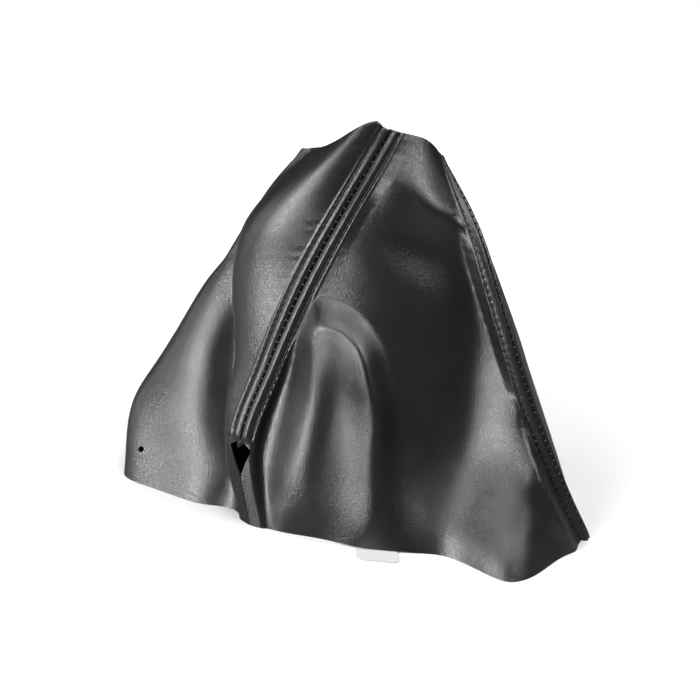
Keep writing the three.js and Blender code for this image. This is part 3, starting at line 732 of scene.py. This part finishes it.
def punch_peg_hole(piece):
    panel = PANELS["left_panel"]
    up = np.full((1, 1), PEG_HOLE_HEIGHT / seam_length(panel["right"]))
    middle, _, direction, _ = wall(panel, np.full((1, 1), PEG_HOLE_ACROSS), up)
    turn = Vector(direction[0, 0]).to_track_quat("Z", "Y").to_matrix()
    rings = []
    for depth in (-PUNCH_DEPTH, PUNCH_DEPTH):
        for step in range(PUNCH_SIDES):
            angle = 2 * math.pi * step / PUNCH_SIDES
            spoke = Vector((PEG_HOLE_RADIUS * math.cos(angle), PEG_HOLE_RADIUS * math.sin(angle), depth))
            rings.append((turn @ spoke + Vector(middle[0, 0] + to_origin)) * MM)
    sides = [(k, (k + 1) % PUNCH_SIDES, (k + 1) % PUNCH_SIDES + PUNCH_SIDES, k + PUNCH_SIDES)
             for k in range(PUNCH_SIDES)]
    caps = [tuple(range(PUNCH_SIDES))[::-1], tuple(range(PUNCH_SIDES, 2 * PUNCH_SIDES))]
    punch_mesh = bpy.data.meshes.new("punch")
    punch_mesh.from_pydata(rings, [], sides + caps)
    punch_mesh.materials.append(backing)
    punch = bpy.data.objects.new("punch", punch_mesh)
    bpy.context.scene.collection.objects.link(punch)
    cut = piece.modifiers.new("peg_hole", "BOOLEAN")
    cut.operation = "DIFFERENCE"
    cut.solver = "EXACT"
    cut.material_mode = "TRANSFER"
    cut.object = punch
    whole = bpy.data.meshes.new_from_object(piece.evaluated_get(bpy.context.evaluated_depsgraph_get()))
    piece.modifiers.remove(cut)
    piece.data = whole
    bpy.data.objects.remove(punch)


for name, panel in PANELS.items():
    piece = make_panel(name)
    if name == "left_panel":
        punch_peg_hole(piece)
    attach(piece, "root")
    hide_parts(name)


# Sewing: bonded black polyester thread. Lock stitches lie along the channel on both sides of each
# seam, and the joining stitches cross the groove between the two rolled edges.
THREAD_RADIUS = 0.34
TOP_STITCH_LENGTH = 2.9
TOP_STITCH_ARCH = 0.5
TOP_STITCH_LIFT = 0.05
JOIN_STITCH_LENGTH = 1.9
JOIN_STITCH_ARCH = 0.45
JOIN_STITCH_LIFT = 0.25
STITCH_TURN = math.radians(5)
THREAD_END_MARGIN = 2
THREAD_COLOUR = (0.028, 0.028, 0.029, 1)
THREAD_ROUGHNESS = 0.36
STRANDS_PER_METRE = 4500
STRAND_HEIGHT = 0.06
STITCH_STEPS = 8
THREAD_SIDES = 6
TOP_SEED_STEP = 10
JOINING_SEED = 100

thread_finish, nodes, links, shader = new_finish("thread")
shader.inputs["Base Color"].default_value = THREAD_COLOUR
shader.inputs["Roughness"].default_value = THREAD_ROUGHNESS
places = nodes.new("ShaderNodeTexCoord")
strands = nodes.new("ShaderNodeTexNoise")
strands.inputs["Scale"].default_value = STRANDS_PER_METRE
bump = nodes.new("ShaderNodeBump")
bump.inputs["Distance"].default_value = STRAND_HEIGHT * MM
links.new(places.outputs["Object"], strands.inputs["Vector"])
links.new(strands.outputs["Fac"], bump.inputs["Height"])
links.new(bump.outputs["Normal"], shader.inputs["Normal"])


def stitch_tree():
    """Geometry nodes: one arched stitch on every point, turned by the attributes along and upward."""
    tree = bpy.data.node_groups.new("stitches", "GeometryNodeTree")
    sockets = tree.interface
    sockets.new_socket("Geometry", in_out="INPUT", socket_type="NodeSocketGeometry")
    for label in ("Length", "Arch", "Lift", "Radius", "Turn"):
        sockets.new_socket(label, in_out="INPUT", socket_type="NodeSocketFloat")
    sockets.new_socket("Seed", in_out="INPUT", socket_type="NodeSocketInt")
    sockets.new_socket("Material", in_out="INPUT", socket_type="NodeSocketMaterial")
    sockets.new_socket("Geometry", in_out="OUTPUT", socket_type="NodeSocketGeometry")
    add, link = tree.nodes.new, tree.links.new
    given, result = add("NodeGroupInput"), add("NodeGroupOutput")
    half_length = add("ShaderNodeMath")
    half_length.operation = "MULTIPLY"
    half_length.inputs[1].default_value = 0.5
    link(given.outputs["Length"], half_length.inputs[0])
    backwards = add("ShaderNodeMath")
    backwards.operation = "MULTIPLY"
    backwards.inputs[1].default_value = -0.5
    link(given.outputs["Length"], backwards.inputs[0])
    top = add("ShaderNodeMath")
    top.operation = "ADD"
    link(given.outputs["Arch"], top.inputs[0])
    link(given.outputs["Lift"], top.inputs[1])

    def corner(x, z):
        place = add("ShaderNodeCombineXYZ")
        link(x, place.inputs["X"])
        link(z, place.inputs["Z"])
        return place.outputs["Vector"]

    arc = add("GeometryNodeCurvePrimitiveBezierSegment")
    arc.inputs["Resolution"].default_value = STITCH_STEPS
    link(corner(backwards.outputs[0], given.outputs["Lift"]), arc.inputs["Start"])
    link(corner(backwards.outputs[0], top.outputs[0]), arc.inputs["Start Handle"])
    link(corner(half_length.outputs[0], top.outputs[0]), arc.inputs["End Handle"])
    link(corner(half_length.outputs[0], given.outputs["Lift"]), arc.inputs["End"])
    section = add("GeometryNodeCurvePrimitiveCircle")
    section.inputs["Resolution"].default_value = THREAD_SIDES
    link(given.outputs["Radius"], section.inputs["Radius"])
    stitch = add("GeometryNodeCurveToMesh")
    stitch.inputs["Fill Caps"].default_value = True
    link(arc.outputs["Curve"], stitch.inputs["Curve"])
    link(section.outputs["Curve"], stitch.inputs["Profile Curve"])
    along, upward = add("GeometryNodeInputNamedAttribute"), add("GeometryNodeInputNamedAttribute")
    for node, label in ((along, "along"), (upward, "upward")):
        node.data_type = "FLOAT_VECTOR"
        node.inputs["Name"].default_value = label
    facing = add("FunctionNodeAxesToRotation")
    facing.primary_axis, facing.secondary_axis = "X", "Z"
    link(along.outputs["Attribute"], facing.inputs["Primary Axis"])
    link(upward.outputs["Attribute"], facing.inputs["Secondary Axis"])
    back_turn = add("ShaderNodeMath")
    back_turn.operation = "MULTIPLY"
    back_turn.inputs[1].default_value = -1
    link(given.outputs["Turn"], back_turn.inputs[0])
    chance = add("FunctionNodeRandomValue")
    link(back_turn.outputs[0], chance.inputs[2])
    link(given.outputs["Turn"], chance.inputs[3])
    link(given.outputs["Seed"], chance.inputs["Seed"])
    about = add("FunctionNodeAxisAngleToRotation")
    link(chance.outputs[1], about.inputs["Angle"])
    turned = add("FunctionNodeRotateRotation")
    turned.rotation_space = "LOCAL"
    link(facing.outputs["Rotation"], turned.inputs["Rotation"])
    link(about.outputs["Rotation"], turned.inputs["Rotate By"])
    row = add("GeometryNodeInstanceOnPoints")
    link(given.outputs["Geometry"], row.inputs["Points"])
    link(stitch.outputs["Mesh"], row.inputs["Instance"])
    link(turned.outputs["Rotation"], row.inputs["Rotation"])
    real = add("GeometryNodeRealizeInstances")
    link(row.outputs["Instances"], real.inputs["Geometry"])
    finished = add("GeometryNodeSetMaterial")
    link(real.outputs["Geometry"], finished.inputs["Geometry"])
    link(given.outputs["Material"], finished.inputs["Material"])
    link(finished.outputs["Geometry"], result.inputs["Geometry"])
    return tree


stitches = stitch_tree()


def sew(name, line, upward, crosswise, length, arch, lift, seed):
    """One row of stitches along a line of points, as a mesh object that stands for the CAD thread."""
    steps = np.linalg.norm(np.diff(line, axis=0), axis=1)
    travelled = np.concatenate([[0], np.cumsum(steps)])
    centres = (np.arange(int(travelled[-1] / STITCH_PITCH)) + 0.5) * STITCH_PITCH
    heading = np.gradient(line, axis=0)
    if crosswise:
        centres = centres[:-1] + STITCH_PITCH / 2
        heading = np.cross(heading, upward)

    def at(values):
        return np.stack([np.interp(centres, travelled, values[:, k]) for k in range(3)], 1)

    mesh = bpy.data.meshes.new(name + "_stitches")
    mesh.from_pydata(((at(line) + to_origin) * MM).tolist(), [], [])
    for label, values in (("along", unit(at(heading))), ("upward", unit(at(upward)))):
        mesh.attributes.new(label, "FLOAT_VECTOR", "POINT").data.foreach_set("vector", values.ravel())
    points = bpy.data.objects.new(name + "_points", mesh)
    bpy.context.scene.collection.objects.link(points)
    modifier = points.modifiers.new("stitches", "NODES")
    modifier.node_group = stitches
    sizes = {"Length": length * MM, "Arch": arch * MM, "Lift": lift * MM, "Radius": THREAD_RADIUS * MM,
             "Turn": STITCH_TURN, "Seed": seed, "Material": thread_finish}
    for item in stitches.interface.items_tree:
        if item.item_type == "SOCKET" and item.in_out == "INPUT" and item.name in sizes:
            modifier[item.identifier] = sizes[item.name]
    whole = bpy.data.meshes.new_from_object(points.evaluated_get(bpy.context.evaluated_depsgraph_get()))
    bpy.data.objects.remove(points)
    whole.polygons.foreach_set("use_smooth", np.ones(len(whole.polygons), bool))
    row = bpy.data.objects.new(name + "_stitches", whole)
    bpy.context.scene.collection.objects.link(row)
    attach(row, "root")
    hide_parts(name)


def sewn_rows(seam, up):
    start = opening_high + SEWN_EASE if seam == "front_left" else THREAD_END_MARGIN / seam_length(seam)
    end = 1 - THREAD_END_MARGIN / seam_length(seam)
    return (up[:, 0] > start) & (up[:, 0] < end)


stitch_row = SEAM_COLUMNS.index(TOP_STITCH_ROW)
for number, (name, panel) in enumerate(PANELS.items()):
    for side, column in (("left", stitch_row), ("right", -1 - stitch_row)):
        rows = sewn_rows(panel[side], panel["up"])
        line, upward = panel["outer"][rows, column], panel["direction"][rows, column]
        sew(f"{name}_{side}_top_thread", line, upward, False, TOP_STITCH_LENGTH, TOP_STITCH_ARCH,
            TOP_STITCH_LIFT, TOP_SEED_STEP * number + column)
    seam, up = panel["left"], panel["up"]
    up = up[sewn_rows(seam, up)]
    line, upward = seam_point(seam, up)[:, 0], seam_normal(seam, up)[:, 0]
    sew(f"{seam}_joining_thread", line, upward, True, JOIN_STITCH_LENGTH, JOIN_STITCH_ARCH,
        JOIN_STITCH_LIFT, JOINING_SEED + number)

# The blank tab: a slip of thin white film with rounded corners. It lies on the surface under the
# sleeve, caught by the front hem, which rises a little over it.
TAB_OUT = 10.5
TAB_IN = 5
TAB_CORNER = 3
TAB_CORNER_STEPS = 7
TAB_COLOUR = (0.72, 0.72, 0.73, 1)
TAB_ROUGHNESS = 0.35

tab_finish, nodes, links, shader = new_finish("tab")
shader.inputs["Base Color"].default_value = TAB_COLOUR
shader.inputs["Roughness"].default_value = TAB_ROUGHNESS
hem_place = np.full((1, 1), TAB_ACROSS)
tab_root, _, tab_out, _ = wall(PANELS["front_panel"], hem_place, np.zeros((1, 1)))
tab_root, tab_out = tab_root[0, 0], unit(tab_out[0, 0] * (1, 1, 0))
tab_side = np.array([-tab_out[1], tab_out[0], 0])
tab_edge = []
for corner_side, corner_out in ((1, TAB_OUT), (-1, TAB_OUT), (-1, -TAB_IN), (1, -TAB_IN)):
    centre = np.array([corner_side * (TAB_WIDTH / 2 - TAB_CORNER),
                       corner_out - math.copysign(TAB_CORNER, corner_out)])
    begin = math.atan2(corner_out, corner_side) // (math.pi / 2) * (math.pi / 2)
    for turn in np.linspace(begin, begin + math.pi / 2, TAB_CORNER_STEPS):
        tab_edge.append(centre + TAB_CORNER * np.array([math.cos(turn), math.sin(turn)]))
tab_edge = np.array(tab_edge)
flat_tab = tab_root * (1, 1, 0) + tab_side * tab_edge[:, :1] + tab_out * tab_edge[:, 1:] + to_origin
tab_points = np.concatenate([flat_tab, flat_tab + (0, 0, TAB_THICKNESS)])
count = len(tab_edge)
tab_faces = [tuple(range(count - 1, -1, -1)), tuple(range(count, 2 * count))]
tab_faces += [(k, (k + 1) % count, count + (k + 1) % count, count + k) for k in range(count)]
tab_mesh = bpy.data.meshes.new("hem_tab_film")
tab_mesh.from_pydata((tab_points * MM).tolist(), [], tab_faces)
tab_mesh.materials.append(tab_finish)
tab = bpy.data.objects.new("hem_tab_film", tab_mesh)
bpy.context.scene.collection.objects.link(tab)
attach(tab, "root")
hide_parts("hem_tab")
